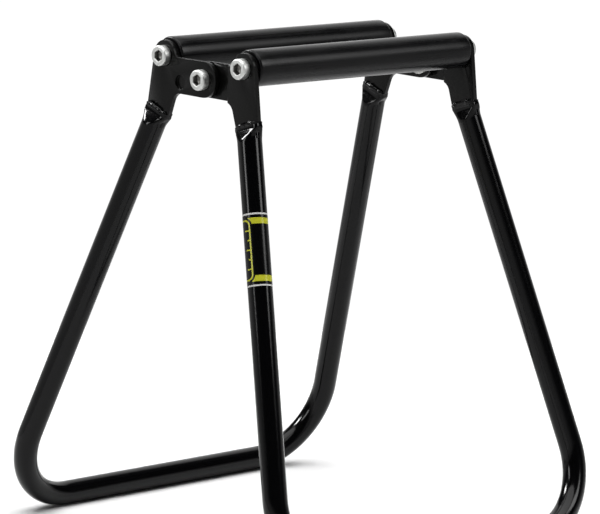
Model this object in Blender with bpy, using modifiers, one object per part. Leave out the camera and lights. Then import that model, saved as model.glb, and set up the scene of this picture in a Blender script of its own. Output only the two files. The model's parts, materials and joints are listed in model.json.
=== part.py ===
import math

import bmesh
import bpy
from mathutils import Matrix, Vector

# Folding bike stand: two bent steel tube frames that hinge under a pair of sleeved bars.
# X runs along the bars, Y across them and Z up from the floor. All sizes are in metres.

# Overall size
PLATE_SPAN = 0.2372          # middle of one end plate to the middle of the other
PIVOT_HEIGHT = 0.3669        # hinge axis above the floor
FOOT_REACH = 0.1608          # hinge axis to a foot tube's axis, across
FOOT_FLARE = 0.0555          # how much further out along X a foot corner is than its plate

# Leg tubes
TUBE_DIAMETER = 0.019
TUBE_WALL = 0.002
BEND_RADIUS = 0.057
PINCH_CLEARANCE = 0.00045    # between the flattened tube end and the tongue inside it
PINCH_FLAT = 0.0035          # length that is fully flattened
PINCH_LENGTH = 0.014         # from the rim to where the tube is round again
PINCH_SQUARENESS = 6.0       # exponent of the flattened section's outline

# End plates, drawn from the hinge axis outwards
PLATE_THICKNESS = 0.004
ARM_RADIUS = 0.014           # round end about the hinge, and half the arm's width
LUG_RADIUS = 0.012           # round top about a bar's axis
BAR_REACH = 0.0442           # hinge axis to a bar's axis, across
BAR_RISE = 0.0136            # hinge axis to a bar's axis, up
LUG_FILLET = 0.004
PLATE_LEAN = math.radians(8)  # outer side of the plate from the vertical
TAB_WIDTH = 0.0255           # width of the plate where the leg begins
TAB_REACH = 0.0499           # hinge axis to the middle of the tab's end, across
TAB_DROP = 0.0282            # hinge axis to the middle of the tab's end, down
ARM_FILLET = 0.009
TONGUE_WIDTH = 0.017         # tongue that the flattened tube end grips
TONGUE_LENGTH = 0.006
JOGGLE_REACH = 0.028         # where the front plates start to step back, from the hinge

# Stop that ends the opening: a pressed button and the nose that lands on it
BUTTON_RADIUS = 0.006
BUTTON_REACH = 0.0255
BUTTON_DROP = 0.005
BUTTON_BITE = 0.0015         # overlap of the button and the nose, along X
DIMPLE_DEPTH = 0.0024
NOSE_REACH = 0.0285
NOSE_TOP = 0.0095
NOSE_ROUND = 0.003

# Bars
SLEEVE_DIAMETER = 0.0285
SLEEVE_ROUND = 0.0015
SLEEVE_END_GAP = 0.0016      # plate to sleeve
CORE_DIAMETER = 0.020
CORE_WALL = 0.0025
PLUG_LENGTH = 0.020

# Fasteners
BOLT_DIAMETER = 0.010
HEAD_DIAMETER = 0.016
HEAD_HEIGHT = 0.0065
HEAD_ROUND = 0.0012
SOCKET_SIZE = 0.008          # across flats
SOCKET_DEPTH = 0.004
BAR_BOLT_LENGTH = 0.022
BOLT_CHAMFER = 0.001         # at the shank's tip
WASHER_DIAMETER = 0.020
WASHER_THICKNESS = 0.0005
NUT_SIZE = 0.015             # across flats
NUT_HEIGHT = 0.009
FLANGE_DIAMETER = 0.0218
FLANGE_THICKNESS = 0.0018
COLLAR_DIAMETER = 0.0135
COLLAR_HEIGHT = 0.0022
BOLT_POINT = 0.0012          # thread that shows past the nut

CLEARANCE = 0.0003           # between pieces that touch
TUBE_BEVEL_STEPS = 10        # 24 sides outside
BORE_BEVEL_STEPS = 4         # 12 sides inside
ROUND_STEPS = 24
BEND_STEPS = 10
PINCH_STEPS = 5

HINGE = Vector((0, 0, PIVOT_HEIGHT))
ARM_GAP = WASHER_THICKNESS + 2 * CLEARANCE
JOGGLE = PLATE_THICKNESS + ARM_GAP
BORE_DIAMETER = BOLT_DIAMETER + 2 * CLEARANCE
TUBE_RADIUS = TUBE_DIAMETER / 2
PINCH_THICKNESS = PLATE_THICKNESS + 2 * (TUBE_WALL + PINCH_CLEARANCE)

# The leg from the middle of the tab's end to where its axis would meet the foot tube's axis
LEG_TOP = Vector((PLATE_SPAN / 2, TAB_REACH, -TAB_DROP))
FOOT_CORNER = Vector((PLATE_SPAN / 2 + FOOT_FLARE, FOOT_REACH, TUBE_RADIUS - PIVOT_HEIGHT))
LEG_LINE = (FOOT_CORNER - LEG_TOP).normalized()
LEG_LEAN = math.atan2(LEG_LINE.y, -LEG_LINE.z)
LEG_SPLAY = LEG_LINE.x / math.hypot(LEG_LINE.y, LEG_LINE.z)


def clear_scene():
    for obj in list(bpy.data.objects):
        bpy.data.objects.remove(obj, do_unlink=True)


def make_collection(name):
    collection = bpy.data.collections.new(name)
    bpy.context.scene.collection.children.link(collection)
    return collection


def make_material(name, colour, roughness, metallic):
    material = bpy.data.materials.new(name)
    material.use_nodes = True
    shader = material.node_tree.nodes["Principled BSDF"]
    shader.inputs["Base Color"].default_value = (*colour, 1)
    shader.inputs["Roughness"].default_value = roughness
    shader.inputs["Metallic"].default_value = metallic
    material.diffuse_color = (*colour, 1)
    return material


def add_object(name, mesh, collection, material, parent):
    obj = bpy.data.objects.new(name, mesh)
    collection.objects.link(obj)
    if material:
        mesh.materials.clear()
        mesh.materials.append(material)
    obj.parent = parent
    mesh.shade_smooth()
    mesh.set_sharp_from_angle(angle=math.radians(35))
    return obj


def add_cutter(name, mesh, collection, parent):
    obj = add_object(name, mesh, collection, None, parent)
    obj.hide_render = True
    obj.display_type = "WIRE"
    return obj


def add_boolean(obj, cutter, operation):
    boolean = obj.modifiers.new(f"{operation.lower()}_{cutter.name}", "BOOLEAN")
    boolean.operation = operation
    boolean.solver = "EXACT"
    boolean.object = cutter


def curve_to_mesh(curve, name):
    # Welds the loose caps of a filled curve, so that the mesh is one closed body.
    holder = bpy.data.objects.new(name, curve)
    bpy.context.scene.collection.objects.link(holder)
    depsgraph = bpy.context.evaluated_depsgraph_get()
    mesh = bpy.data.meshes.new_from_object(holder.evaluated_get(depsgraph))
    bpy.data.objects.remove(holder, do_unlink=True)
    bm = bmesh.new()
    bm.from_mesh(mesh)
    bmesh.ops.remove_doubles(bm, verts=bm.verts, dist=1e-6)
    bmesh.ops.recalc_face_normals(bm, faces=bm.faces)
    bm.to_mesh(mesh)
    bm.free()
    return mesh


def fill_spline(curve, points, cyclic):
    spline = curve.splines.new("POLY")
    spline.points.add(len(points) - 1)
    for spline_point, point in zip(spline.points, points):
        spline_point.co = (*point, 1)
    spline.use_cyclic_u = cyclic


def extruded_mesh(name, outline, thickness):
    # A flat outline in its own XY plane, extruded to both sides of it.
    curve = bpy.data.curves.new(name, "CURVE")
    curve.dimensions = "2D"
    curve.fill_mode = "BOTH"
    curve.extrude = thickness / 2
    fill_spline(curve, [(x, y, 0) for x, y in outline], True)
    return curve_to_mesh(curve, name)


def swept_mesh(name, path, radius, bevel_steps):
    curve = bpy.data.curves.new(name, "CURVE")
    curve.dimensions = "3D"
    curve.bevel_depth = radius
    curve.bevel_resolution = bevel_steps
    curve.use_fill_caps = True
    fill_spline(curve, path, False)
    return curve_to_mesh(curve, name)


def turned_mesh(name, profile, steps=ROUND_STEPS):
    # The profile lists radius and height down the outer side, and up a bore if there is one.
    mesh = bpy.data.meshes.new(name)
    edges = [(i, i + 1) for i in range(len(profile) - 1)]
    closed = profile[0][0] > 0
    if closed:
        edges.append((len(profile) - 1, 0))
    mesh.from_pydata([(radius, 0, height) for radius, height in profile], edges, [])
    holder = bpy.data.objects.new(name, mesh)
    bpy.context.scene.collection.objects.link(holder)
    screw = holder.modifiers.new("turn", "SCREW")
    screw.steps = steps
    screw.render_steps = steps
    screw.use_merge_vertices = True
    screw.merge_threshold = 1e-6
    depsgraph = bpy.context.evaluated_depsgraph_get()
    turned = bpy.data.meshes.new_from_object(holder.evaluated_get(depsgraph))
    bpy.data.objects.remove(holder, do_unlink=True)
    bpy.data.meshes.remove(mesh)
    return turned


def prism_mesh(name, radius, height, segments, turn=0.0):
    # A prism that stands on the XY plane.
    bm = bmesh.new()
    place = Matrix.Translation((0, 0, height / 2)) @ Matrix.Rotation(turn, 4, "Z")
    bmesh.ops.create_cone(bm, cap_ends=True, segments=segments, radius1=radius,
                          radius2=radius, depth=height, matrix=place)
    mesh = bpy.data.meshes.new(name)
    bm.to_mesh(mesh)
    bm.free()
    return mesh


def arc(centre, radius, start, end, steps):
    points = []
    for i in range(steps + 1):
        angle = start + (end - start) * i / steps
        points.append(Vector(centre) + radius * Vector((math.cos(angle), math.sin(angle))))
    return points


def rounded_corner(before, corner, after, radius, steps):
    # The arc that rounds a corner, from the side of the first neighbour to the other's.
    to_before = (before - corner).normalized()
    to_after = (after - corner).normalized()
    half = to_before.angle(to_after) / 2
    centre = corner + (to_before + to_after).normalized() * radius / math.sin(half)
    first = corner + to_before * radius / math.tan(half) - centre
    last = corner + to_after * radius / math.tan(half) - centre
    turn = first.angle_signed(last)
    return [centre + Matrix.Rotation(-turn * i / steps, 2) @ first for i in range(steps + 1)]


def plate_outline(has_nose):
    # In the plate's plane: first number outwards from the hinge, second number up.
    lug = Vector((BAR_REACH, BAR_RISE))
    tab = Vector((TAB_REACH, -TAB_DROP))
    along_rim = Vector((math.cos(LEG_LEAN), math.sin(LEG_LEAN)))
    down_leg = Vector((math.sin(LEG_LEAN), -math.cos(LEG_LEAN)))

    inner_corner = tab - along_rim * TAB_WIDTH / 2
    side_normal = Vector((math.cos(PLATE_LEAN), math.sin(PLATE_LEAN)))
    side_distance = LUG_RADIUS - (tab - lug).dot(side_normal)
    outer_corner = tab + along_rim * side_distance / along_rim.dot(side_normal)

    # The web between the arm's underside and the tab's inner side
    to_arm = (-ARM_RADIUS - inner_corner.y) / -down_leg.y
    web_corner = inner_corner - down_leg * to_arm
    web = rounded_corner(Vector((0, -ARM_RADIUS)), web_corner, inner_corner, ARM_FILLET, 6)

    # The neck between the arm's top edge and the round lug
    neck_y = ARM_RADIUS + LUG_FILLET
    neck_x = lug.x - math.sqrt((LUG_RADIUS + LUG_FILLET) ** 2 - (neck_y - lug.y) ** 2)
    to_neck = math.atan2(neck_y - lug.y, neck_x - lug.x)

    points = [inner_corner]
    tongue_left = tab - along_rim * TONGUE_WIDTH / 2
    tongue_right = tab + along_rim * TONGUE_WIDTH / 2
    points += [tongue_left, tongue_left + down_leg * TONGUE_LENGTH]
    points += [tongue_right + down_leg * TONGUE_LENGTH, tongue_right, outer_corner]
    points += arc(lug, LUG_RADIUS, PLATE_LEAN, to_neck, 14)
    points += arc((neck_x, neck_y), LUG_FILLET, to_neck - math.pi, -math.pi / 2, 4)
    if has_nose:
        points += nose_outline()
    else:
        points += arc((0, 0), ARM_RADIUS, math.pi / 2, 1.5 * math.pi, 14)
    points += web
    return points


def nose_outline():
    # The nose reaches past the hinge, above the button of the other frame's plate.
    under = BUTTON_RADIUS - BUTTON_DROP + CLEARANCE
    tip_top = Vector((-NOSE_REACH, NOSE_TOP))
    tip_under = Vector((-NOSE_REACH, under))
    top_start = Vector((-math.sqrt(ARM_RADIUS ** 2 - NOSE_TOP ** 2), NOSE_TOP))
    under_start = Vector((-math.sqrt(ARM_RADIUS ** 2 - under ** 2), under))
    top_angle = math.atan2(top_start.y, top_start.x)
    under_angle = math.atan2(under_start.y, under_start.x)
    points = arc((0, 0), ARM_RADIUS, math.pi / 2, top_angle, 4)
    points += rounded_corner(top_start, tip_top, tip_under, NOSE_ROUND, 4)
    points += rounded_corner(tip_top, tip_under, under_start, NOSE_ROUND, 4)
    points += arc((0, 0), ARM_RADIUS, under_angle, 1.5 * math.pi, 10)
    return points


def lean_tongue(mesh, outward):
    # The tongue follows the leg, which splays along X. Outward is +1 where +Z leads outwards.
    bm = bmesh.new()
    bm.from_mesh(mesh)
    rim_middle = Vector((TAB_REACH, -TAB_DROP, 0))
    down_leg = Vector((math.sin(LEG_LEAN), -math.cos(LEG_LEAN), 0))
    for vert in bm.verts:
        depth = (vert.co - rim_middle).dot(down_leg)
        if depth > CLEARANCE:
            vert.co.z += outward * LEG_SPLAY * depth
    bm.to_mesh(mesh)
    bm.free()


def step_arm(mesh, direction):
    # Steps the arm sideways by the joggle, over a slope as long as the step is deep.
    bm = bmesh.new()
    bm.from_mesh(mesh)
    for reach in (JOGGLE_REACH, JOGGLE_REACH - JOGGLE):
        geometry = bm.verts[:] + bm.edges[:] + bm.faces[:]
        bmesh.ops.bisect_plane(bm, geom=geometry, dist=1e-7, plane_co=(reach, 0, 0),
                               plane_no=(1, 0, 0))
    for vert in bm.verts:
        share = (JOGGLE_REACH - vert.co.x) / JOGGLE
        vert.co.z += direction * JOGGLE * min(max(share, 0), 1)
    bm.to_mesh(mesh)
    bm.free()


def make_plate(name, side, end, parts, cutters, material, parent):
    # side is +1 for the rear frame and -1 for the front one, end is +1 or -1 along X.
    mesh = extruded_mesh(name, plate_outline(has_nose=side < 0), PLATE_THICKNESS)
    lean_tongue(mesh, side * end)
    if side < 0:
        step_arm(mesh, -1)
    plate = add_object(name, mesh, parts, material, parent)
    # Own X leads away from the hinge, own Y up, and own Z along the hinge.
    plate.matrix_local = (Matrix.Translation((end * PLATE_SPAN / 2, 0, 0))
                          @ Matrix(((0, 0, side, 0), (side, 0, 0, 0), (0, 1, 0, 0), (0, 0, 0, 1))))
    holes = {"hinge_hole": (0, 0), "bar_hole": (BAR_REACH, BAR_RISE)}
    for hole, (across, up) in holes.items():
        depth = 2 * (PLATE_THICKNESS + JOGGLE)
        cutter = add_cutter(f"{name}_{hole}", prism_mesh(hole, BORE_DIAMETER / 2, depth, ROUND_STEPS),
                            cutters, plate)
        cutter.location = (across, up, -depth / 2)
        add_boolean(plate, cutter, "DIFFERENCE")
    if side > 0:
        add_stop_button(name, plate, cutters)
    return plate


def add_stop_button(name, plate, cutters):
    # Pressed through from the face at own -Z, and standing proud of the one at +Z.
    place = Vector((BUTTON_REACH, -BUTTON_DROP, 0))
    height = ARM_GAP + BUTTON_BITE
    root = PLATE_THICKNESS - DIMPLE_DEPTH
    button_mesh = prism_mesh(f"{name}_button", BUTTON_RADIUS, root + height, ROUND_STEPS)
    button = add_cutter(f"{name}_button", button_mesh, cutters, plate)
    button.location = place + Vector((0, 0, PLATE_THICKNESS / 2 - root))
    add_boolean(plate, button, "UNION")
    dimple_radius = BUTTON_RADIUS - CLEARANCE
    dimple_mesh = prism_mesh(f"{name}_dimple", dimple_radius, 2 * DIMPLE_DEPTH, ROUND_STEPS)
    dimple = add_cutter(f"{name}_dimple", dimple_mesh, cutters, plate)
    dimple.location = place - Vector((0, 0, PLATE_THICKNESS / 2 + DIMPLE_DEPTH))
    add_boolean(plate, dimple, "DIFFERENCE")


def frame_path(overrun):
    # The tube's axis for the rear frame, from one rim to the other, about the hinge.
    to_leg = -LEG_LINE
    to_foot = Vector((-1, 0, 0))
    half = to_leg.angle(to_foot) / 2
    tangent = BEND_RADIUS / math.tan(half)
    centre = FOOT_CORNER + (to_leg + to_foot).normalized() * BEND_RADIUS / math.sin(half)
    first = FOOT_CORNER + to_leg * tangent - centre
    bend_axis = LEG_LINE.cross(to_foot).normalized()
    bend_angle = math.pi - 2 * half
    path = [LEG_TOP - LEG_LINE * overrun]
    for i in range(PINCH_STEPS + 1):
        depth = PINCH_FLAT + (PINCH_LENGTH - PINCH_FLAT) * i / PINCH_STEPS
        path.append(LEG_TOP + LEG_LINE * depth)
    for i in range(BEND_STEPS + 1):
        turn = Matrix.Rotation(bend_angle * i / BEND_STEPS, 3, bend_axis)
        path.append(centre + turn @ first)
    mirrored = [Vector((-point.x, point.y, point.z)) for point in reversed(path)]
    return path + mirrored


def pinch_end(bm, end, half_thickness, half_width):
    # Flattens the tube towards its rim, into the rounded slot section that grips the tongue.
    top = Vector((end * LEG_TOP.x, LEG_TOP.y, LEG_TOP.z))
    line = Vector((end * LEG_LINE.x, LEG_LINE.y, LEG_LINE.z))
    through = (Vector((1, 0, 0)) - line * line.x).normalized()
    across = line.cross(through)
    power = 2 / PINCH_SQUARENESS
    for vert in bm.verts:
        offset = vert.co - top
        depth = offset.dot(line)
        if end * vert.co.x < 0 or depth > PINCH_LENGTH:
            continue
        share = min(max((PINCH_LENGTH - depth) / (PINCH_LENGTH - PINCH_FLAT), 0), 1)
        share = share * share * (3 - 2 * share)
        near = offset.dot(through)
        wide = offset.dot(across)
        size = math.hypot(near, wide)
        if size < 1e-6:
            continue
        flat_near = math.copysign(half_thickness * (abs(near) / size) ** power, near)
        flat_wide = math.copysign(half_width * (abs(wide) / size) ** power, wide)
        vert.co += through * (flat_near - near) * share + across * (flat_wide - wide) * share


def square_rims(bm):
    # Cuts both ends square to the tab, a clearance below it, and closes them.
    square = Vector((0, math.sin(LEG_LEAN), -math.cos(LEG_LEAN)))
    for end in (1, -1):
        middle = Vector((end * LEG_TOP.x, LEG_TOP.y, LEG_TOP.z)) + square * CLEARANCE
        near_end = [vert for vert in bm.verts if end * vert.co.x > 0]
        edges = {edge for vert in near_end for edge in vert.link_edges}
        faces = {face for vert in near_end for face in vert.link_faces}
        cut = bmesh.ops.bisect_plane(bm, geom=near_end + list(edges) + list(faces), dist=1e-7,
                                     plane_co=middle, plane_no=square, clear_inner=True)
        rim = [item for item in cut["geom_cut"] if isinstance(item, bmesh.types.BMEdge)]
        bmesh.ops.contextual_create(bm, geom=rim)
    bmesh.ops.recalc_face_normals(bm, faces=bm.faces)


def frame_mesh(name, radius, half_thickness, half_width, overrun, bevel_steps, side):
    mesh = swept_mesh(name, frame_path(overrun), radius, bevel_steps)
    bm = bmesh.new()
    bm.from_mesh(mesh)
    for end in (1, -1):
        pinch_end(bm, end, half_thickness, half_width)
    if overrun < PINCH_FLAT:
        square_rims(bm)
    if side < 0:
        bmesh.ops.rotate(bm, verts=bm.verts, cent=(0, 0, 0), matrix=Matrix.Rotation(math.pi, 3, "Z"))
    bm.to_mesh(mesh)
    bm.free()
    return mesh


def make_frame_tube(name, side, parts, cutters, material, parent):
    half_thickness = PINCH_THICKNESS / 2
    half_width = TAB_WIDTH / 2
    overrun = PINCH_FLAT / 2
    bore_overrun = PINCH_FLAT
    outside = frame_mesh(name, TUBE_RADIUS, half_thickness, half_width, overrun,
                         TUBE_BEVEL_STEPS, side)
    bore = frame_mesh(f"{name}_bore", TUBE_RADIUS - TUBE_WALL, half_thickness - TUBE_WALL,
                      half_width - TUBE_WALL, bore_overrun, BORE_BEVEL_STEPS, side)
    tube = add_object(name, outside, parts, material, parent)
    cutter = add_cutter(f"{name}_bore", bore, cutters, parent)
    add_boolean(tube, cutter, "DIFFERENCE")
    return tube


def along_x(obj, x, y, z, direction):
    # Lays a piece turned about own Z along the hinge: own +Z leads to direction along X.
    obj.rotation_euler = (0, direction * math.pi / 2, 0)
    obj.location = (x, y, z)


def ring_profile(outer_radius, bore_radius, length, rounding=0.0, round_steps=3):
    # A tube from height 0 to length with rounded outer corners, down the outside, up the bore.
    profile = []
    if rounding > 0:
        for centre_z, start in ((length - rounding, math.pi / 2), (rounding, 0.0)):
            corner = arc((outer_radius - rounding, centre_z), rounding, start,
                         start - math.pi / 2, round_steps)
            profile += [(point.x, point.y) for point in corner]
    else:
        profile += [(outer_radius, length), (outer_radius, 0)]
    profile += [(bore_radius, 0), (bore_radius, length)]
    return profile


def bolt_mesh(name, length):
    # The head stands on the XY plane and the shank hangs below it.
    head_radius = HEAD_DIAMETER / 2
    shank_radius = BOLT_DIAMETER / 2
    corner = arc((head_radius - HEAD_ROUND, HEAD_HEIGHT - HEAD_ROUND), HEAD_ROUND,
                 math.pi / 2, 0, 3)
    profile = [(0, HEAD_HEIGHT)]
    profile += [(point.x, point.y) for point in corner]
    profile += [(head_radius, 0), (shank_radius, 0), (shank_radius, BOLT_CHAMFER - length)]
    profile += [(shank_radius - BOLT_CHAMFER, -length), (0, -length)]
    return turned_mesh(name, profile)


def make_bolt(name, length, place, direction, parts, cutters, material, parent):
    bolt = add_object(name, bolt_mesh(name, length), parts, material, parent)
    along_x(bolt, *place, direction)
    socket_radius = SOCKET_SIZE / math.sqrt(3)
    socket = add_cutter(f"{name}_socket", prism_mesh(name, socket_radius, HEAD_HEIGHT, 6),
                        cutters, bolt)
    socket.location = (0, 0, HEAD_HEIGHT - SOCKET_DEPTH)
    add_boolean(bolt, socket, "DIFFERENCE")
    return bolt


def make_nut(name, place, direction, parts, cutters, material, parent):
    # A flanged lock nut: flange at own Z of 0, then the hexagon and the locking collar.
    nut_mesh = prism_mesh(name, NUT_SIZE / math.sqrt(3), NUT_HEIGHT, 6)
    nut = add_object(name, nut_mesh, parts, material, parent)
    along_x(nut, *place, direction)
    total = NUT_HEIGHT + COLLAR_HEIGHT
    flange = prism_mesh("flange", FLANGE_DIAMETER / 2, FLANGE_THICKNESS, ROUND_STEPS)
    collar = prism_mesh("collar", COLLAR_DIAMETER / 2, total, ROUND_STEPS)
    bore = prism_mesh("bore", BORE_DIAMETER / 2, 2 * total, ROUND_STEPS)
    for label, mesh, operation in (("flange", flange, "UNION"), ("collar", collar, "UNION"),
                                   ("bore", bore, "DIFFERENCE")):
        cutter = add_cutter(f"{name}_{label}", mesh, cutters, nut)
        if operation == "DIFFERENCE":
            cutter.location = (0, 0, -total / 2)
        add_boolean(nut, cutter, operation)
    return nut


def make_bar(label, side, parts, cutters, materials, parent):
    y = side * BAR_REACH
    inner_span = PLATE_SPAN - PLATE_THICKNESS
    core_length = inner_span - 2 * CLEARANCE
    core_radius = CORE_DIAMETER / 2
    core_bore = core_radius - CORE_WALL
    core_mesh = turned_mesh("core", ring_profile(core_radius, core_bore, core_length))
    core = add_object(f"{label}_bar_core", core_mesh, parts, materials["core"], parent)
    along_x(core, -core_length / 2, y, BAR_RISE, 1)

    sleeve_length = inner_span - 2 * SLEEVE_END_GAP
    sleeve_mesh = turned_mesh("sleeve", ring_profile(SLEEVE_DIAMETER / 2, core_radius + CLEARANCE,
                                                     sleeve_length, SLEEVE_ROUND))
    sleeve = add_object(f"{label}_bar_sleeve", sleeve_mesh, parts, materials["sleeve"], parent)
    along_x(sleeve, -sleeve_length / 2, y, BAR_RISE, 1)

    outer_face = (PLATE_SPAN + PLATE_THICKNESS) / 2
    for end, end_label in ((-1, "left"), (1, "right")):
        plug_mesh = turned_mesh("plug", ring_profile(core_bore - CLEARANCE, BORE_DIAMETER / 2,
                                                     PLUG_LENGTH))
        plug = add_object(f"{label}_bar_plug_{end_label}", plug_mesh, parts, materials["core"], parent)
        along_x(plug, end * core_length / 2, y, BAR_RISE, -end)
        make_bolt(f"{label}_bar_bolt_{end_label}", BAR_BOLT_LENGTH,
                  (end * (outer_face + CLEARANCE), y, BAR_RISE), end, parts, cutters,
                  materials["bolt"], parent)


def make_hinge(parts, cutters, materials, parent):
    outer_face = (PLATE_SPAN + PLATE_THICKNESS) / 2
    inner_face = (PLATE_SPAN - PLATE_THICKNESS) / 2
    grip = PLATE_THICKNESS + JOGGLE + 2 * CLEARANCE
    length = grip + NUT_HEIGHT + COLLAR_HEIGHT + BOLT_POINT
    # The rear arm is the lower one in X at both ends, so the stack starts from its -X face.
    stacks = {"left": (-1, -outer_face), "right": (1, inner_face)}
    for end_label, (end, start) in stacks.items():
        low = start - CLEARANCE
        high = low + grip
        head, nut = (high, low) if end > 0 else (low, high)
        make_bolt(f"hinge_bolt_{end_label}", length, (head, 0, 0), end, parts, cutters,
                  materials["bolt"], parent)
        make_nut(f"hinge_nut_{end_label}", (nut, 0, 0), -end, parts, cutters, materials["bolt"],
                 parent)
        washer_mesh = turned_mesh("washer", ring_profile(WASHER_DIAMETER / 2, BORE_DIAMETER / 2,
                                                         WASHER_THICKNESS))
        washer = add_object(f"hinge_washer_{end_label}", washer_mesh, parts, materials["washer"],
                            parent)
        along_x(washer, start + PLATE_THICKNESS + CLEARANCE, 0, 0, 1)


def make_axis(name, collection):
    axis = bpy.data.objects.new(name, None)
    axis.location = HINGE
    collection.objects.link(axis)
    return axis


def build_stand():
    clear_scene()
    parts = make_collection("folding_bike_stand")
    cutters = make_collection("cutters")
    materials = {
        "paint": make_material("gloss_black_paint", (0.012, 0.012, 0.012), 0.18, 0.0),
        "sleeve": make_material("satin_black_sleeve", (0.018, 0.018, 0.02), 0.42, 0.0),
        "core": make_material("plain_steel", (0.42, 0.42, 0.43), 0.4, 1.0),
        "bolt": make_material("zinc_plated_steel", (0.66, 0.67, 0.68), 0.3, 1.0),
        "washer": make_material("nylon_washer", (0.75, 0.74, 0.7), 0.5, 0.0),
    }
    for label, side in (("rear", 1), ("front", -1)):
        axis = make_axis(f"{label}_frame_axis", parts)
        make_frame_tube(f"{label}_leg_tube", side, parts, cutters, materials["paint"], axis)
        for end, end_label in ((-1, "left"), (1, "right")):
            make_plate(f"{label}_end_plate_{end_label}", side, end, parts, cutters,
                       materials["paint"], axis)
        make_bar(label, side, parts, cutters, materials, axis)
        if side > 0:
            make_hinge(parts, cutters, materials, axis)
    bpy.context.view_layer.update()


build_stand()
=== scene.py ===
import json
import math

import bmesh
import bpy
from mathutils import Matrix, Vector, noise


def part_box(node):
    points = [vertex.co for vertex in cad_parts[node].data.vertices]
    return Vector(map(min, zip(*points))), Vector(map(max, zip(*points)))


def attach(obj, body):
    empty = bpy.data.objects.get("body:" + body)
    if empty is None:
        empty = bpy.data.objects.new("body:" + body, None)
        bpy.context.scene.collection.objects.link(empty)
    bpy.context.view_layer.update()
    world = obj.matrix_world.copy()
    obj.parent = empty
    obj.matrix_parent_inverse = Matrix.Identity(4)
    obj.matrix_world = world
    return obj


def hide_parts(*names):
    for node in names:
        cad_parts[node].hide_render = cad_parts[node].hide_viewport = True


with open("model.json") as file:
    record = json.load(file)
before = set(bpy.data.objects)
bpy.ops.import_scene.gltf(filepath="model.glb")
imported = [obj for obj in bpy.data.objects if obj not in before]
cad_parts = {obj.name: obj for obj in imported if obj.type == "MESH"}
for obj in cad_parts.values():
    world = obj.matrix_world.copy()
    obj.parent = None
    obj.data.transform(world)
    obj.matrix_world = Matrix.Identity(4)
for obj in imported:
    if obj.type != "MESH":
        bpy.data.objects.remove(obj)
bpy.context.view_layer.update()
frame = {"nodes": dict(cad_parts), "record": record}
bodies = {"rear": "rear_frame", "front": "front_frame"}
sides = {"rear": 1, "front": -1}     # the rear frame stands at +Y
ends = {"left": -1, "right": 1}
print("frame loaded")


class Sock:
    # a node's output that takes part in ordinary sums
    def __init__(self, tree, socket):
        self.tree = tree
        self.socket = socket

    def math(self, operation, *others):
        values = dict(enumerate([self, *others]))
        return self.tree.add("ShaderNodeMath", {"operation": operation}, values)

    def __add__(self, other):
        return self.math("ADD", other)

    def __sub__(self, other):
        return self.math("SUBTRACT", other)

    def __rsub__(self, other):
        return self.tree.add("ShaderNodeMath", {"operation": "SUBTRACT"}, {0: other, 1: self})

    def __mul__(self, other):
        return self.math("MULTIPLY", other)

    def __truediv__(self, other):
        return self.math("DIVIDE", other)

    def __gt__(self, other):
        return self.math("GREATER_THAN", other)

    def __lt__(self, other):
        return self.math("LESS_THAN", other)

    def __abs__(self):
        return self.math("ABSOLUTE")

    __radd__ = __add__
    __rmul__ = __mul__


class NodeTree:
    # the nodes of a material or of the world
    def __init__(self, tree):
        self.nodes = tree.nodes
        self.links = tree.links

    def fill(self, node, sockets):
        for key, value in sockets.items():
            if isinstance(value, Sock):
                self.links.new(value.socket, node.inputs[key])
            else:
                node.inputs[key].default_value = value

    def add(self, kind, settings=None, sockets=None, out=0):
        # settings come first, because some of them change which sockets a node has
        node = self.nodes.new(kind)
        for key, value in (settings or {}).items():
            if key == "stops":
                for element, (place, tone) in zip(node.color_ramp.elements, value):
                    element.position = place
                    element.color = (tone, tone, tone, 1)
            else:
                setattr(node, key, value)
        self.fill(node, sockets or {})
        return Sock(self, node.outputs[out])

    def coords(self, out="Object"):
        return self.add("ShaderNodeTexCoord", out=out)

    def part(self, vector, axis):
        return self.add("ShaderNodeSeparateXYZ", None, {0: vector}, out=axis)


class Finish(NodeTree):
    # one material and the patterns that feed its shader
    def __init__(self, name):
        self.material = bpy.data.materials.new(name)
        self.material.use_nodes = True
        super().__init__(self.material.node_tree)

    def scaled(self, vector, scale):
        return self.add("ShaderNodeMapping", None, {"Vector": vector, "Scale": scale})

    def noise(self, vector, scale, detail=3.0):
        sockets = {"Vector": vector, "Scale": scale, "Detail": detail, "Roughness": 0.55}
        return self.add("ShaderNodeTexNoise", None, sockets)

    def rise(self, value, start, end, top=1.0):
        # nothing below start, then a climb to top at end
        stops = [(start, 0.0), (end, top)]
        return self.add("ShaderNodeValToRGB", {"stops": stops}, {"Fac": value})

    def blend(self, share, first, second):
        sockets = {0: share, 6: first, 7: second}
        return self.add("ShaderNodeMix", {"data_type": "RGBA"}, sockets, out=2)

    def bump(self, height, strength, distance):
        sockets = {"Height": height, "Strength": strength, "Distance": distance}
        return self.add("ShaderNodeBump", None, sockets)

    def feed(self, **sockets):
        named = {key.replace("_", " "): value for key, value in sockets.items()}
        self.fill(self.nodes["Principled BSDF"], named)
        return self.material


camera = {
    "azimuth": -44.566,
    "elevation": 10.234,
    "roll": 2.18,
    "distance": 3.0873,
    "target": (-0.0096, 0.0, 0.21855),
    "lens": 235.0,
}


def addToScene(name, data):
    obj = bpy.data.objects.new(name, data)
    bpy.context.scene.collection.objects.link(obj)
    return obj


def direction(azimuth, elevation):
    # azimuth 0 is the view along +Y, from -Y
    around, up = math.radians(azimuth), math.radians(elevation)
    level = math.cos(up)
    return Vector((math.sin(around) * level, -math.cos(around) * level, math.sin(up)))


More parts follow.
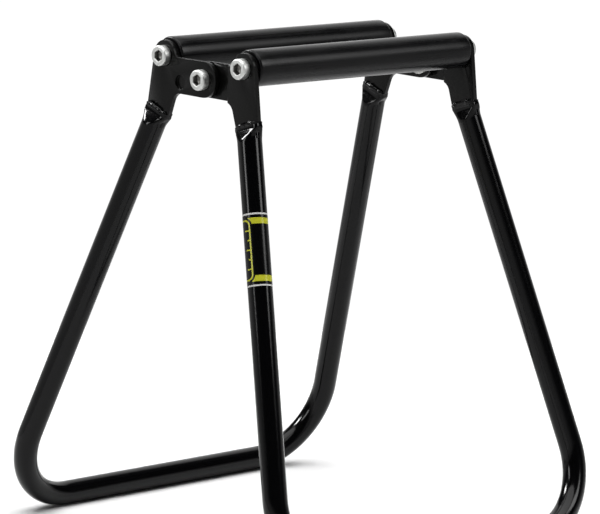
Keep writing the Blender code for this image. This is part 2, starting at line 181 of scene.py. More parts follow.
def makeCamera():
    data = bpy.data.cameras.new("camera")
    data.lens = camera["lens"]
    data.sensor_width = 36
    back = direction(camera["azimuth"], camera["elevation"])
    right = Vector((0, 0, 1)).cross(back).normalized()
    right = Matrix.Rotation(math.radians(camera["roll"]), 3, back) @ right
    place = Matrix((right, back.cross(right), back)).transposed().to_4x4()
    place.translation = Vector(camera["target"]) + back * camera["distance"]
    obj = addToScene("camera", data)
    obj.matrix_world = place
    bpy.context.scene.camera = obj


studio = {
    "floorRadius": 0.8,
    "floorTone": 0.9,
    "backdrop": 1.04,             # what the camera sees past the floor
    "horizon": 0.75,              # what the pieces mirror near the floor
    "overhead": 0.02,             # and higher up
    "horizonEnd": (0.02, 0.24),   # sine of the elevation where one turns into the other
    "sunStrength": 3.9,
    "sunSpread": 70,
    "aimHeight": 0.2,             # the softboxes face this point above the origin
}

softboxes = {
    # azimuth, elevation, distance, width, height, power
    "leftStrip": (-106, 24, 2.2, 0.44, 0.9, 13),
    "rightStrip": (26, 32, 2.0, 0.60, 0.8, 12),
    "sleeveStrip": (43, 32, 2.2, 0.8, 0.8, 8),
    "backCloth": (134, 26, 2.6, 2.8, 2.0, 20),
    "weldLight": (-149, 36, 2.0, 0.45, 0.45, 45),
}


def makeFloor():
    bm = bmesh.new()
    bmesh.ops.create_circle(bm, cap_ends=True, segments=96, radius=studio["floorRadius"])
    mesh = bpy.data.meshes.new("studioFloor")
    bm.to_mesh(mesh)
    bm.free()
    tone = studio["floorTone"]
    mesh.materials.append(Finish("paleFloor").feed(Base_Color=(tone, tone, tone, 1), Roughness=0.9))
    addToScene("studioFloor", mesh)


def makeSun():
    sun = bpy.data.lights.new("skylight", "SUN")
    sun.energy = studio["sunStrength"]
    sun.angle = math.radians(studio["sunSpread"])
    addToScene("skylight", sun)


def makeSoftbox(name):
    azimuth, elevation, distance, width, height, power = softboxes[name]
    data = bpy.data.lights.new(name, "AREA")
    data.shape = "RECTANGLE"
    data.size = width
    data.size_y = height
    data.energy = power
    obj = addToScene(name, data)
    toLight = direction(azimuth, elevation)
    obj.matrix_world = toLight.to_track_quat("Z", "Y").to_matrix().to_4x4()
    obj.location = toLight * distance + Vector((0, 0, studio["aimHeight"]))
    obj.visible_camera = False
    obj.visible_diffuse = name == "backCloth"     # the others only make glints
    return obj


def makeWorld():
    # a white backdrop for the camera, and a darker room for what the pieces mirror
    world = bpy.data.worlds.new("studio")
    bpy.context.scene.world = world
    world.use_nodes = True
    sky = NodeTree(world.node_tree)
    low, high = studio["horizonEnd"]
    sockets = {"Value": sky.part(sky.coords("Generated"), "Z"), "From Min": low, "From Max": high,
               "To Min": studio["horizon"], "To Max": studio["overhead"]}
    room = sky.add("ShaderNodeMapRange", {"interpolation_type": "SMOOTHSTEP"}, sockets)
    seen = sky.add("ShaderNodeLightPath", out="Is Camera Ray")
    sockets = {"Factor": seen, "A": room, "B": studio["backdrop"]}
    strength = sky.add("ShaderNodeMix", None, sockets)
    sky.fill(sky.nodes["Background"], {"Color": (1, 1, 1, 1), "Strength": strength})


makeCamera()
makeFloor()
makeSun()
lights = {name: makeSoftbox(name) for name in softboxes}
makeWorld()
bpy.context.scene.view_settings.view_transform = "Standard"
print("studio ready")


glossPaint = {
    "colour": (0.0012, 0.0012, 0.0015, 1),
    "dusty": (0.012, 0.012, 0.0125, 1),
    "roughLow": 0.10,
    "roughHigh": 0.24,
    "shine": 0.18,
    "cloudScale": 26.0,
    "dustScale": 900.0,
    "scuffStretch": (60, 60, 9),
    "scuffScale": 14.0,
    "peelScale": 190.0,
    "peelDepth": 0.00006,
}


def makeGlossPaint():
    # stove enamel: deep black with a trace of orange peel, a little dust and fine handling marks
    paint = Finish("glossBlackEnamel")
    where = paint.coords()
    cloud = paint.noise(where, glossPaint["cloudScale"], 4.0)
    dust = paint.rise(paint.noise(where, glossPaint["dustScale"], 2.0), 0.68, 0.8, 0.5)
    streaks = paint.noise(paint.scaled(where, glossPaint["scuffStretch"]), glossPaint["scuffScale"], 5.0)
    scuffs = paint.rise(streaks, 0.58, 0.72)
    peel = paint.noise(where, glossPaint["peelScale"], 2.0)
    colour = paint.blend(dust * 0.35, glossPaint["colour"], glossPaint["dusty"])
    spread = glossPaint["roughHigh"] - glossPaint["roughLow"]
    rough = glossPaint["roughLow"] + (cloud * 0.5 + scuffs * 0.5) * spread
    normal = paint.bump(peel, 0.35, glossPaint["peelDepth"])
    return paint.feed(Base_Color=colour, Roughness=rough, Normal=normal,
                      Specular_IOR_Level=glossPaint["shine"])


satinPaint = {
    "colour": (0.0022, 0.0022, 0.0020, 1),
    "worn": (0.014, 0.0138, 0.013, 1),
    "rough": 0.22,
    "shine": 0.15,
    "grainScale": 1500.0,
    "grainDepth": 0.00008,
    "cloudScale": 38.0,
    "rubStretch": (30, 8, 30),
    "rubScale": 22.0,
}


def makeSatinPaint():
    # powder coat: an even satin with a fine grain, rubbed a little in patches
    paint = Finish("satinBlackPowderCoat")
    where = paint.coords()
    grain = paint.noise(where, satinPaint["grainScale"], 2.0)
    cloud = paint.noise(where, satinPaint["cloudScale"], 4.0)
    wear = paint.noise(paint.scaled(where, satinPaint["rubStretch"]), satinPaint["rubScale"], 6.0)
    rubbed = paint.rise(wear, 0.6, 0.78)
    colour = paint.blend(rubbed * 0.22 + grain * 0.1, satinPaint["colour"], satinPaint["worn"])
    rough = satinPaint["rough"] + (cloud - 0.5) * 0.12 - rubbed * 0.08
    normal = paint.bump(grain, 0.25, satinPaint["grainDepth"])
    return paint.feed(Base_Color=colour, Roughness=rough, Normal=normal,
                      Specular_IOR_Level=satinPaint["shine"])


sleevePlastic = {
    "colour": (0.0008, 0.0008, 0.0010, 1),
    "scuffed": (0.013, 0.013, 0.016, 1),
    "rough": 0.29,
    "shine": 0.15,
    "drawnStretch": (3, 420, 420),
    "drawnScale": 2.2,
    "drawnDepth": 0.00007,
    "cloudStretch": (14, 40, 40),
    "cloudScale": 2.0,
    "scuffStretch": (34, 180, 180),
    "scuffScale": 3.0,
}


def makeSleevePlastic():
    # drawn tube: faint lines along its length, cloudy handling marks and scuffs where a bike sits
    plastic = Finish("satinBlackSleeve")
    where = plastic.coords()
    pattern = {}
    for kind, detail in {"drawn": 4.0, "cloud": 4.0, "scuff": 5.0}.items():
        stretched = plastic.scaled(where, sleevePlastic[f"{kind}Stretch"])
        pattern[kind] = plastic.noise(stretched, sleevePlastic[f"{kind}Scale"], detail)
    drawn, cloud = pattern["drawn"], pattern["cloud"]
    scuff = plastic.rise(pattern["scuff"], 0.62, 0.8)
    share = scuff * 0.45 + cloud * 0.08
    colour = plastic.blend(share, sleevePlastic["colour"], sleevePlastic["scuffed"])
    rough = sleevePlastic["rough"] + (cloud - 0.5) * 0.16 + (drawn - 0.5) * 0.2 + scuff * 0.1
    normal = plastic.bump(drawn, 0.1, sleevePlastic["drawnDepth"])
    return plastic.feed(Base_Color=colour, Roughness=rough, Normal=normal,
                        Specular_IOR_Level=sleevePlastic["shine"])


zincPlate = {
    "bright": (0.66, 0.67, 0.66, 1),
    "dull": (0.44, 0.445, 0.43, 1),
    "stain": (0.20, 0.19, 0.165, 1),
    # painted shade: a darker zinc tone for the hinge nuts, which sit in shade
    "shadedNutTone": (0.30, 0.30, 0.29, 1),
    # painted shade: the colour that darkens the key's socket
    "socketShade": (0.17, 0.168, 0.16, 1),
    "rough": 0.40,
    "metallic": 0.92,
    "mottleScale": 420.0,
    "speckScale": 1500.0,
    "turnedStretch": (2600, 160, 160),
    "turnedDepth": 0.00008,
}


def makeZincPlate(name, bright, staining):
    # bright zinc over a turned and pressed head, mottled, with dark specks and a socket darkened with
    # painted shade
    zinc = Finish(name)
    where = zinc.coords()
    mottle = zinc.noise(where, zincPlate["mottleScale"], 4.0)
    specks = zinc.rise(zinc.noise(where, zincPlate["speckScale"], 3.0), 0.60, 0.74)
    turned = zinc.noise(zinc.scaled(where, zincPlate["turnedStretch"]), 1.0, 3.0)
    colour = zinc.blend(mottle, zincPlate["dull"], bright)
    colour = zinc.blend(specks * staining, colour, zincPlate["stain"])
    # painted shade darkens the socket, by the mesh's own attribute
    socketShade = zinc.add("ShaderNodeAttribute", {"attribute_name": "socketShade"}, out="Fac")
    colour = zinc.blend(socketShade, colour, zincPlate["socketShade"])
    rough = zincPlate["rough"] + (mottle - 0.4) * 0.22 + specks * 0.12
    normal = zinc.bump(turned * 0.6 + mottle * 0.4, 0.3, zincPlate["turnedDepth"])
    return zinc.feed(Base_Color=colour, Roughness=rough, Normal=normal,
                     Metallic=zincPlate["metallic"])


plainSteel = {
    "oiled": (0.30, 0.295, 0.285, 1),
    "clean": (0.50, 0.50, 0.49, 1),
    "oilScale": 90.0,
    "brushStretch": (12, 900, 900),
    "brushDepth": 0.00005,
}


def makePlainSteel():
    # bare drawn tube and its plugs, slightly oily and grey
    steel = Finish("bareSteel")
    where = steel.coords()
    brushed = steel.noise(steel.scaled(where, plainSteel["brushStretch"]), 1.2, 4.0)
    oily = steel.noise(where, plainSteel["oilScale"], 4.0)
    colour = steel.blend(oily, plainSteel["oiled"], plainSteel["clean"])
    normal = steel.bump(brushed, 0.3, plainSteel["brushDepth"])
    return steel.feed(Base_Color=colour, Roughness=0.3 + oily * 0.2, Normal=normal, Metallic=1.0)


naturalNylon = {
    "shade": (0.60, 0.585, 0.53, 1),
    "light": (0.74, 0.73, 0.68, 1),
    "cloudScale": 240.0,
    "grainDepth": 0.0001,
}


def makeNylon():
    nylon = Finish("naturalNylon")
    cloud = nylon.noise(nylon.coords(), naturalNylon["cloudScale"], 3.0)
    colour = nylon.blend(cloud, naturalNylon["shade"], naturalNylon["light"])
    normal = nylon.bump(cloud, 0.15, naturalNylon["grainDepth"])
    return nylon.feed(Base_Color=colour, Roughness=0.4 + cloud * 0.15, Normal=normal)


finishes = {
    "gloss": makeGlossPaint(),
    "satin": makeSatinPaint(),
    "sleeve": makeSleevePlastic(),
    "zinc": makeZincPlate("zincPlatedScrew", zincPlate["bright"], 0.6),
    # the hinge nuts get a darker copy of the zinc as painted shade
    "nut": makeZincPlate("shadedZincNut", zincPlate["shadedNutTone"], 0.9),
    "steel": makePlainSteel(),
    "nylon": makeNylon(),
}
print("finishes ready")


def finishPiece(name, bm, finish, body, replaces=(), sharp=35):
    mesh = bpy.data.meshes.new(name)
    bm.to_mesh(mesh)
    bm.free()
    mesh.materials.append(finish)
    mesh.shade_smooth()
    mesh.set_sharp_from_angle(angle=math.radians(sharp))
    obj = addToScene(name, mesh)
    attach(obj, body)
    if replaces:
        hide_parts(*replaces)
    return obj


def ringEdges(verts):
    chosen = set(verts)
    found = {}     # a dictionary keeps the edges in order
    for vert in verts:
        for edge in vert.link_edges:
            if edge.other_vert(vert) in chosen:
                found[edge] = True
    return list(found)


def growRing(bm, verts):
    # the next ring of a wall, still lying on the old one and in the same order
    made = bmesh.ops.extrude_edge_only(bm, edges=ringEdges(verts))["geom"]
    fresh = {item for item in made if isinstance(item, bmesh.types.BMVert)}
    after = {}
    for vert in verts:
        for edge in vert.link_edges:
            if edge.other_vert(vert) in fresh:
                after[vert] = edge.other_vert(vert)
    return [after[vert] for vert in verts]


def closeUp(bm, gap=0.000002):
    bmesh.ops.remove_doubles(bm, verts=bm.verts, dist=gap)
    bmesh.ops.recalc_face_normals(bm, faces=bm.faces)


def turnRings(bm, stations, place, segments=48):
    # each station is (height, radius, share of a hexagon), from one end of the wall to the other
    ring = bmesh.ops.create_circle(bm, segments=segments, radius=1.0)["verts"]
    angles = [math.atan2(vert.co.y, vert.co.x) for vert in ring]
    sixth = math.pi / 3
    for index, (height, radius, hexagon) in enumerate(stations):
        if index:
            ring = growRing(bm, ring)
        for vert, angle in zip(ring, angles):
            flat = math.cos(sixth / 2) / math.cos((angle % sixth) - sixth / 2)
            reach = radius * (1 - hexagon + hexagon * flat)
            vert.co = Vector((math.cos(angle) * reach, math.sin(angle) * reach, height))
    bmesh.ops.transform(bm, matrix=place, verts=bm.verts)
    closeUp(bm)


def roundStations(radius, height, rounding, atTop, steps=5):
    # the rounded edge between an end face and the side, from the top down
    stations = []
    for i in range(steps + 1):
        angle = math.radians(90) * i / steps
        if atTop:
            rise, reach = math.cos(angle) - 1, math.sin(angle) - 1
        else:
            rise, reach = 1 - math.sin(angle), math.cos(angle) - 1
        stations.append((height + rise * rounding, radius + reach * rounding, 0))
    return stations


def alongBars(middle, towards):
    # a turned piece's own Z leads along the bars, towards +X or -X
    return Matrix.Translation(middle) @ Matrix.Rotation(towards * math.pi / 2, 4, "Y")


def turnToFront(bm, label):
    # a shape made for the rear frame goes half way round for the front one
    if sides[label] < 0:
        bmesh.ops.rotate(bm, verts=bm.verts, cent=(0, 0, 0), matrix=Matrix.Rotation(math.pi, 3, "Z"))


legTube = {
    "radius": 0.0095,
    "wall": 0.002,
    "plateHalf": 0.002,
    "bendRadius": 0.057,
    "tabReach": 0.0499,       # hinge axis to the middle of the tab, across
    "tabDrop": 0.0282,        # and down
    "footFlare": 0.0555,
    "segments": 48,
    "bendSteps": 22,
    "straightSteps": 14,
    "pinchHalfThickness": 0.00445,
    "pinchHalfWidth": 0.0124,
    "pinchFlat": 0.0030,
    "pinchLength": 0.0145,
    "pinchDish": 0.38,        # how much sooner the pinch ends on the narrow sides
    "pinchMargin": 0.002,     # the close rings start this far before the pinch
    "pinchRings": 34,
    "squareness": 0.36,
    "dentDepth": 0.00065,     # heat and the press leave it lumpy near the weld
    "dentLength": 0.012,
    "dentScales": (210, 520),
    "pocket": 0.012,
    "mergeGap": 0.00001,
}


def legLine():
    # the rear frame's right leg: its top, the corner of its foot and the way down
    hinge = Vector(frame["record"]["behaviour"]["joints"][0]["pos_m"])
    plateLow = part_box("rear_end_plate_right")[0]
    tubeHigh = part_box("rear_leg_tube")[1]
    radius = legTube["radius"]
    tab = plateLow.x + legTube["plateHalf"]
    top = Vector((tab, legTube["tabReach"], hinge.z - legTube["tabDrop"]))
    corner = Vector((tab + legTube["footFlare"], tubeHigh.y - radius, radius))
    return top, corner, (corner - top).normalized()


def easing(value):
    share = min(max(value, 0), 1)
    return share * share * (3 - 2 * share)


def pinch(bm, top, down):
    # the press flattens the tube over the tongue, with a V-shaped dish below the flat
    through = (Vector((1, 0, 0)) - down * down.x).normalized()
    across = down.cross(through)
    square = Vector((0, down.y, down.z)).normalized()
    flat, length, slot = legTube["pinchFlat"], legTube["pinchLength"], legTube["squareness"]
    dish = legTube["pinchDish"]
    coarse, fine = legTube["dentScales"]
    for vert in bm.verts:
        offset = vert.co - top
        depth = offset.dot(down)
        if depth > length:
            continue
        near, wide = offset.dot(through), offset.dot(across)
        angle = math.atan2(wide, near)
        outNear, outWide = math.cos(angle), math.sin(angle)
        reach = flat + (length - flat) * (1 - dish + dish * abs(outNear))
        share = easing((reach - depth) / (reach - flat))
        flatNear = math.copysign(legTube["pinchHalfThickness"] * abs(outNear) ** slot, near)
        flatWide = math.copysign(legTube["pinchHalfWidth"] * abs(outWide) ** slot, wide)
        vert.co += through * (flatNear - near) * share + across * (flatWide - wide) * share
        lumps = noise.noise(vert.co * coarse) + 0.5 * noise.noise(vert.co * fine)
        fade = min(max(1 - depth / legTube["dentLength"], 0), 1)
        vert.co += (through * outNear + across * outWide) * lumps * fade * legTube["dentDepth"]
        # the last rings lean until the rim is square to the tab
        lean = min(max(1 - depth / flat, 0), 1)
        slip = (vert.co - top).dot(square) - depth * down.dot(square)
        vert.co -= down * slip * lean / down.dot(square)


def closeMouth(bm, ring, top, down):
    # the mouth turns in around the tongue and ends in the dark
    through = (Vector((1, 0, 0)) - down * down.x).normalized()
    across = down.cross(through)
    thinner = legTube["wall"] / legTube["pinchHalfThickness"]
    narrower = legTube["wall"] / legTube["pinchHalfWidth"]
    ring = growRing(bm, ring)
    for vert in ring:
        near, wide = (vert.co - top).dot(through), (vert.co - top).dot(across)
        vert.co -= through * near * thinner + across * wide * narrower
    ring = growRing(bm, ring)
    bmesh.ops.translate(bm, verts=ring, vec=down * legTube["pocket"])
    bmesh.ops.contextual_create(bm, geom=ringEdges(ring))


def makeLegTube(label):
    top, corner, down = legLine()
    outward = Vector((1, 0, 0))
    half = (-down).angle(-outward) / 2
    tangent = legTube["bendRadius"] / math.tan(half)
    centre = corner - (down + outward).normalized() * legTube["bendRadius"] / math.sin(half)
    straight = legTube["straightSteps"]

    # half of the tube, from the middle of the foot to the flattened end
    bm = bmesh.new()
    place = Matrix.Translation((0, corner.y, corner.z)) @ Matrix.Rotation(math.pi / 2, 4, "Y")
    ring = bmesh.ops.create_circle(bm, segments=legTube["segments"], radius=legTube["radius"],
                                   matrix=place)["verts"]
    for i in range(straight):
        ring = growRing(bm, ring)
        bmesh.ops.translate(bm, verts=ring, vec=outward * (corner.x - tangent) / straight)
    bent = bmesh.ops.spin(bm, geom=ring + ringEdges(ring), cent=centre, axis=outward.cross(-down),
                          angle=math.pi - 2 * half, steps=legTube["bendSteps"], use_merge=False)
    ring = [item for item in bent["geom_last"] if isinstance(item, bmesh.types.BMVert)]
    pinchRun = legTube["pinchLength"] + legTube["pinchMargin"]
    plainRun = (corner - top).length - tangent - pinchRun
    steps = [plainRun / straight] * straight
    steps += [pinchRun / legTube["pinchRings"]] * legTube["pinchRings"]
    for step in steps:
        ring = growRing(bm, ring)
        bmesh.ops.translate(bm, verts=ring, vec=-down * step)
    pinch(bm, top, down)
    closeMouth(bm, ring, top, down)

    everything = bm.verts[:] + bm.edges[:] + bm.faces[:]
    bmesh.ops.mirror(bm, geom=everything, axis="X", merge_dist=legTube["mergeGap"])
    turnToFront(bm, label)
    closeUp(bm, legTube["mergeGap"])
    finishPiece(f"{label}LegTube", bm, finishes["gloss"], bodies[label],
                (f"{label}_leg_tube",), sharp=50)


for label in sides:
    makeLegTube(label)
print("leg tubes ready")


weldBead = {
    "throughReach": 0.0033,    # middle of the plate to the bead's middle
    "acrossReach": 0.0106,
    "rise": 0.0002,            # off the end of the tube
    "radius": 0.0019,
    "tallness": 1.25,
    "endShrink": 0.70,         # how much thinner it is round the narrow sides
    "ripplePitch": 0.0026,
    "rippleDepth": 0.20,
    "unevenness": 0.55,
    "unevenScale": 260,
    "stations": 150,
    "segments": 12,
    "squareness": 0.30,
    "mergeGap": 0.0003,
}


def makeWeldBead(label, endLabel):
    # a rippled bead run right round the tab where the flattened tube meets it
    end = ends[endLabel]
    top, _, down = legLine()
    square = Vector((0, down.y, down.z)).normalized()
    through = Vector((1, 0, 0))
    across = square.cross(through)
    slot = weldBead["squareness"]
    count = weldBead["stations"]
    centres = []
    for i in range(count):
        angle = 2 * math.pi * i / count
        near = math.copysign(abs(math.cos(angle)) ** slot, math.cos(angle)) * weldBead["throughReach"]
        wide = math.copysign(abs(math.sin(angle)) ** slot, math.sin(angle)) * weldBead["acrossReach"]
        centres.append(top + through * near + across * wide + square * weldBead["rise"])
    bm = bmesh.new()
    ring = bmesh.ops.create_circle(bm, segments=weldBead["segments"], radius=1.0)["verts"]
    section = [vert.co.copy() for vert in ring]
    seed = Vector((7.3 * end, 3.1 * sides[label], 1.7))     # so that no two beads are alike
    run = 0.0
    for i in range(count + 1):
        centre = centres[i % count]
        ahead = (centres[(i + 1) % count] - centres[(i - 1) % count]).normalized()
        sideways = ahead.cross(square).normalized()
        wave = 1 - weldBead["rippleDepth"] * abs(math.sin(math.pi * run / weldBead["ripplePitch"]))
        loose = 1 + weldBead["unevenness"] * noise.noise(centre * weldBead["unevenScale"] + seed)
        outAlong = abs((centre - top).dot(across)) / weldBead["acrossReach"]
        thin = 1 - weldBead["endShrink"] * outAlong ** 6
        size = weldBead["radius"] * wave * loose * thin
        if i:
            ring = growRing(bm, ring)
            run += (centre - centres[i - 1]).length
        for vert, unit in zip(ring, section):
            vert.co = centre + sideways * unit.x * size + square * unit.y * size * weldBead["tallness"]
    bmesh.ops.remove_doubles(bm, verts=bm.verts, dist=weldBead["mergeGap"])
    mirrored = Matrix.Diagonal((end * sides[label], 1, 1, 1))
    bmesh.ops.transform(bm, matrix=mirrored, verts=bm.verts)
    turnToFront(bm, label)
    bmesh.ops.recalc_face_normals(bm, faces=bm.faces)
    finishPiece(f"{label}WeldBead.{endLabel}", bm, finishes["gloss"], bodies[label],
                sharp=80)


for label in sides:
    for endLabel in ends:
        makeWeldBead(label, endLabel)
print("weld beads ready")


endPlate = {"edge": 0.0006, "edgeSteps": 3, "edgeAngle": 32, "flatAngle": 0.6}


def makeEndPlate(label, endLabel):
    # the plate's own shape, with the rolled-over edges that stamping and paint leave
    node = f"{label}_end_plate_{endLabel}"
    bm = bmesh.new()
    bm.from_mesh(frame["nodes"][node].data)
    bmesh.ops.remove_doubles(bm, verts=bm.verts, dist=0.000002)
    bmesh.ops.dissolve_limit(bm, angle_limit=math.radians(endPlate["flatAngle"]),
                             verts=bm.verts, edges=bm.edges)
    obj = finishPiece(f"{label}EndPlate.{endLabel}", bm, finishes["satin"], bodies[label],
                      (node,), sharp=180)
    bevel = obj.modifiers.new("rolledEdge", "BEVEL")
    bevel.width = endPlate["edge"]
    bevel.segments = endPlate["edgeSteps"]
    bevel.limit_method = "ANGLE"
    bevel.angle_limit = math.radians(endPlate["edgeAngle"])
    bevel.harden_normals = True


for label in sides:
    for endLabel in ends:
        makeEndPlate(label, endLabel)
print("end plates ready")


screw = {
    "headRadius": 0.008,
    "headHeight": 0.0065,
    "headRound": 0.0013,
    "underRound": 0.0004,
    "socketWidth": 0.008,
    "socketDepth": 0.0042,
    "socketEdge": 0.0005,
    "socketCone": 0.0011,     # the drilled middle goes this much deeper
    "shankRadius": 0.005,
    "threadDepth": 0.0006,
    "threadPitch": 0.0015,
    "threadFlat": 0.00015,
    "threads": 7,
    "tip": 0.0006,
}


def socketStations():
    # from the bottom of the hexagon socket up to the head's top face
    head, edge = screw["headHeight"], screw["socketEdge"]
    socket = screw["socketWidth"] / math.sqrt(3)
    bottom = head - screw["socketDepth"]
    return [(bottom - screw["socketCone"], 0, 0), (bottom - 0.0001, socket * 0.78, 0.1),
            (bottom, socket * 0.84, 0.6), (bottom, socket, 1), (head - edge, socket, 1),
            (head, socket + edge, 0.75)]


def shankStations(length):
    # from under the head down to the tip
    shank, pitch, flat = screw["shankRadius"], screw["threadPitch"], screw["threadFlat"]
    root = shank - screw["threadDepth"]
    start = -length + screw["tip"] + screw["threads"] * pitch
    stations = [(0, shank, 0), (start, shank, 0)]
    for i in range(screw["threads"]):
        valley = start - (i + 0.5) * pitch
        crest = start - (i + 1) * pitch
        stations += [(valley + flat, root, 0), (valley - flat, root, 0),
                     (crest + flat, shank, 0), (crest - flat / 3, shank, 0)]
    return stations + [(-length, root, 0), (-length, 0, 0)]


def markSocket(bm, middle, end):
    # painted shade: the key's socket is darkened, a little less near its rim
    head, edge = screw["headHeight"], screw["socketEdge"]
    widest = screw["socketWidth"] / math.sqrt(3) * 1.01
    socketShade = bm.verts.layers.float.new("socketShade")
    for vert in bm.verts:
        height = end * (vert.co.x - middle.x)
        reach = (vert.co.yz - middle.yz).length
        if 0 < height < head - edge / 2 and reach < widest:
            vert[socketShade] = 1.0 if height < head - 2 * edge else 0.6


def makeScrew(name, node, end, body):
    low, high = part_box(node)
    head = screw["headHeight"]
    middle = (low + high) / 2
    middle.x = high.x - head if end > 0 else low.x + head
    stations = socketStations()
    stations += roundStations(screw["headRadius"], head, screw["headRound"], True)
    stations += roundStations(screw["headRadius"], 0.0, screw["underRound"], False, 2)
    stations += shankStations(high.x - low.x - head)
    bm = bmesh.new()
    turnRings(bm, stations, alongBars(middle, end))
    markSocket(bm, middle, end)
    finishPiece(name, bm, finishes["zinc"], body, (node,))


nut = {
    "width": 0.015,
    "height": 0.009,
    "chamfer": 0.0012,
    "faceRadius": 0.0072,
    "flangeRadius": 0.0109,
    "flangeEdge": 0.0013,
    "flangeTop": 0.0029,
    "lip": 0.0004,
    "soft": 0.0003,
    "collarRadius": 0.00675,
    "collarHeight": 0.0022,
    "collarRound": 0.0009,
    "boreRadius": 0.00525,
    "boreEdge": (0.0005, 0.0008),     # across and down
}


def makeNut(name, node, towards, body):
    # a flanged lock nut: its flange, the hexagon and the collar that holds the locking ring
    low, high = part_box(node)
    corner, height, bore = nut["width"] / math.sqrt(3), nut["height"], nut["boreRadius"]
    flange, edge, rim = nut["flangeRadius"], nut["flangeEdge"], nut["collarRadius"]
    soft, lip = nut["soft"], nut["lip"]
    collar = height + nut["collarHeight"]
    edgeAcross, edgeDown = nut["boreEdge"]
    stations = [(0, bore, 0), (0, flange - soft, 0), (soft, flange, 0), (edge, flange, 0),
                (edge + soft, flange - lip, 0), (nut["flangeTop"], corner * 1.03, 0.7),
                (nut["flangeTop"] + lip, corner, 1), (height - nut["chamfer"], corner, 1),
                (height, nut["faceRadius"], 0), (height, rim + soft, 0), (height + soft, rim, 0)]
    stations += roundStations(rim, collar, nut["collarRound"], True)[::-1]
    stations += [(collar, bore + edgeAcross, 0), (collar - edgeDown, bore, 0), (0, bore, 0)]
    middle = (low + high) / 2
    middle.x = high.x if towards < 0 else low.x
    bm = bmesh.new()
    turnRings(bm, stations, alongBars(middle, towards))
    finishPiece(name, bm, finishes["nut"], body, (node,))


for endLabel, end in ends.items():
    for label in sides:
        makeScrew(f"{label}BarScrew.{endLabel}", f"{label}_bar_bolt_{endLabel}", end, bodies[label])
    makeScrew(f"hingeScrew.{endLabel}", f"hinge_bolt_{endLabel}", end, bodies["rear"])
    makeNut(f"hingeNut.{endLabel}", f"hinge_nut_{endLabel}", -end, bodies["rear"])
print("screws and nuts ready")


sleeve = {"round": 0.0015, "bore": 0.0103, "boreEdge": 0.0005, "segments": 72, "rings": 24}


def makeSleeve(label):
    node = f"{label}_bar_sleeve"
    low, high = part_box(node)
    length = high.x - low.x
    radius = (high.z - low.z) / 2
    bore, edge, rounding = sleeve["bore"], sleeve["boreEdge"], sleeve["round"]
    gap = (length - 2 * rounding) / sleeve["rings"]
    stations = [(length - edge, bore, 0), (length, bore + edge, 0)]
    stations += roundStations(radius, length, rounding, True)
    stations += [(length - rounding - gap * i, radius, 0) for i in range(1, sleeve["rings"])]
    stations += roundStations(radius, 0.0, rounding, False)
    stations += [(0, bore + edge, 0), (edge, bore, 0), (length - edge, bore, 0)]
    middle = (low + high) / 2
    middle.x = low.x
    bm = bmesh.new()
    turnRings(bm, stations, alongBars(middle, 1), sleeve["segments"])
    return finishPiece(f"{label}BarSleeve", bm, finishes["sleeve"], bodies[label], (node,))


def repaint(node, finish):
    materials = frame["nodes"][node].data.materials
    materials.clear()
    materials.append(finish)


# the soft streak along the sleeves would be too strong on the enamel of the legs
sleevesOnly = bpy.data.collections.new("sleevesOnly")
lights["sleeveStrip"].light_linking.receiver_collection = sleevesOnly
for label in sides:
    sleevesOnly.objects.link(makeSleeve(label))
    for node in (f"{label}_bar_core", f"{label}_bar_plug_left", f"{label}_bar_plug_right"):
        repaint(node, finishes["steel"])
for endLabel in ends:
    repaint(f"hinge_washer_{endLabel}", finishes["nylon"])
print("bars ready")


legWrap = {
    "start": 0.0693,          # down the leg from the tab
    "end": 0.1249,
    "facing": (-0.712, 0.702, 0.0),     # the panel faces out to the left and back
    "lift": 0.00012,
    "lip": 0.0002,
    "rings": 44,
    "segments": 64,
    "yellow": (0.60, 0.61, 0.045, 1),
    "deepYellow": (0.40, 0.395, 0.016, 1),
    "white": (0.66, 0.66, 0.64, 1),
    "black": (0.0016, 0.0016, 0.0018, 1),
    "rough": 0.16,
    "ringWidth": 0.0012,
    "bandStart": 0.0036,      # from the wrap's own ends
    "bandWidth": 0.0046,
    "panelHalfWidth": 0.0100,
    "panelEndGap": 0.0052,
    "panelRound": 0.0042,
    "panelLine": 0.0012,
    "panelMargin": 0.0016,    # black between the panel's line and the bands
    "tickPitch": 0.0073,
    "tickWidth": 0.0010,
    "longTick": 0.0046,
    "shortTick": 0.0026,
    "fibreStretch": (30, 260, 1),
    "fadeScale": 130.0,
}


def wrapMasks(vinyl, where, circumference, length):
    # where the print is yellow, and where it is white
    across = abs((vinyl.part(where, "X") - 0.5) * circumference)
    along = vinyl.part(where, "Y") * length - length / 2
    fromEnd = length / 2 - abs(along)
    halfWidth, rounding = legWrap["panelHalfWidth"], legWrap["panelRound"]
    halfLength = length / 2 - legWrap["panelEndGap"]
    outAcross = (across - (halfWidth - rounding)).math("MAXIMUM", 0.0)
    outAlong = (abs(along) - (halfLength - rounding)).math("MAXIMUM", 0.0)
    edge = (outAcross * outAcross + outAlong * outAlong).math("SQRT") - rounding
    onLine = abs(edge) < legWrap["panelLine"] / 2

    # ticks stand in from both long sides of the panel, every second one longer
    pitch = legWrap["tickPitch"]
    phase = abs((along / pitch + 0.5).math("FRACT") - 0.5)
    isLong = (along / (2 * pitch) + 0.25).math("FRACT") < 0.5
    reach = isLong * (legWrap["longTick"] - legWrap["shortTick"]) + legWrap["shortTick"]
    onTick = (phase < legWrap["tickWidth"] / 2 / pitch) * (across > halfWidth - reach) * (edge < 0.0)

    bandStart, bandEnd = legWrap["bandStart"], legWrap["bandStart"] + legWrap["bandWidth"]
    outside = edge > legWrap["panelLine"] / 2 + legWrap["panelMargin"]
    onBand = (fromEnd > bandStart) * (fromEnd < bandEnd) * outside
    return (onLine + onTick + onBand).math("MINIMUM", 1.0), fromEnd < legWrap["ringWidth"]


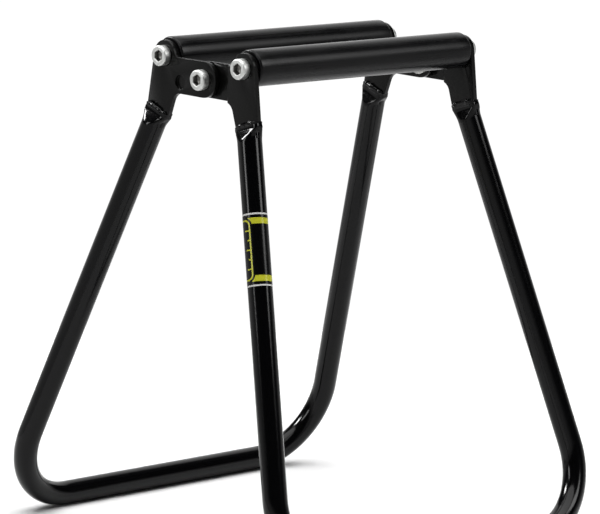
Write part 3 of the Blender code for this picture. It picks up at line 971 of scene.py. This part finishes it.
def makeWrapFinish(circumference, length):
    # two white rings, two yellow bands and a rounded gauge panel with evenly spaced ticks
    vinyl = Finish("printedVinylWrap")
    where, solid = vinyl.coords("UV"), vinyl.coords()
    onYellow, onWhite = wrapMasks(vinyl, where, circumference, length)
    fibres = vinyl.noise(vinyl.scaled(where, legWrap["fibreStretch"]), 1.0, 3.0)
    faded = vinyl.noise(solid, legWrap["fadeScale"], 2.0)
    yellow = vinyl.blend(fibres * 0.4 + faded * 0.5, legWrap["yellow"], legWrap["deepYellow"])
    colour = vinyl.blend(onYellow, legWrap["black"], yellow)
    colour = vinyl.blend(onWhite, colour, legWrap["white"])
    normal = vinyl.bump(vinyl.noise(solid, glossPaint["peelScale"], 2.0), 0.3, 0.00005)
    return vinyl.feed(Base_Color=colour, Roughness=legWrap["rough"] + fibres * 0.08, Normal=normal,
                      Specular_IOR_Level=glossPaint["shine"])


def makeLegWrap():
    # a thin printed sleeve on the front frame's left leg
    top, _, down = legLine()
    top, down = Vector((-top.x, -top.y, top.z)), Vector((-down.x, -down.y, down.z))
    radius = legTube["radius"] + legWrap["lift"]
    tucked = radius - legWrap["lip"]
    length = legWrap["end"] - legWrap["start"]
    origin = top + down * legWrap["start"]
    facing = Vector(legWrap["facing"])
    facing = (facing - down * facing.dot(down)).normalized()
    turn = down.cross(facing)

    bm = bmesh.new()
    ring = bmesh.ops.create_circle(bm, segments=legWrap["segments"], radius=1.0)["verts"]
    section = [vert.co.copy() for vert in ring]
    stations = [(length * i / legWrap["rings"], radius) for i in range(legWrap["rings"] + 1)]
    stations = [(0.0, tucked), *stations, (length, tucked), (0.0, tucked)]
    for index, (depth, reach) in enumerate(stations):
        if index:
            ring = growRing(bm, ring)
        for vert, unit in zip(ring, section):
            vert.co = origin + down * depth + facing * unit.x * reach + turn * unit.y * reach
    closeUp(bm)

    mapped = bm.loops.layers.uv.new("wrap")
    for face in bm.faces:
        middle = face.calc_center_median() - origin
        faceAngle = math.atan2(middle.dot(turn), middle.dot(facing))
        for loop in face.loops:
            offset = loop.vert.co - origin
            angle = math.atan2(offset.dot(turn), offset.dot(facing))
            angle += 2 * math.pi * round((faceAngle - angle) / (2 * math.pi))
            loop[mapped].uv = (0.5 + angle / (2 * math.pi), offset.dot(down) / length)
    finish = makeWrapFinish(2 * math.pi * radius, length)
    finishPiece("legWrap", bm, finish, bodies["front"], sharp=50)


makeLegWrap()
print("leg wrap ready")
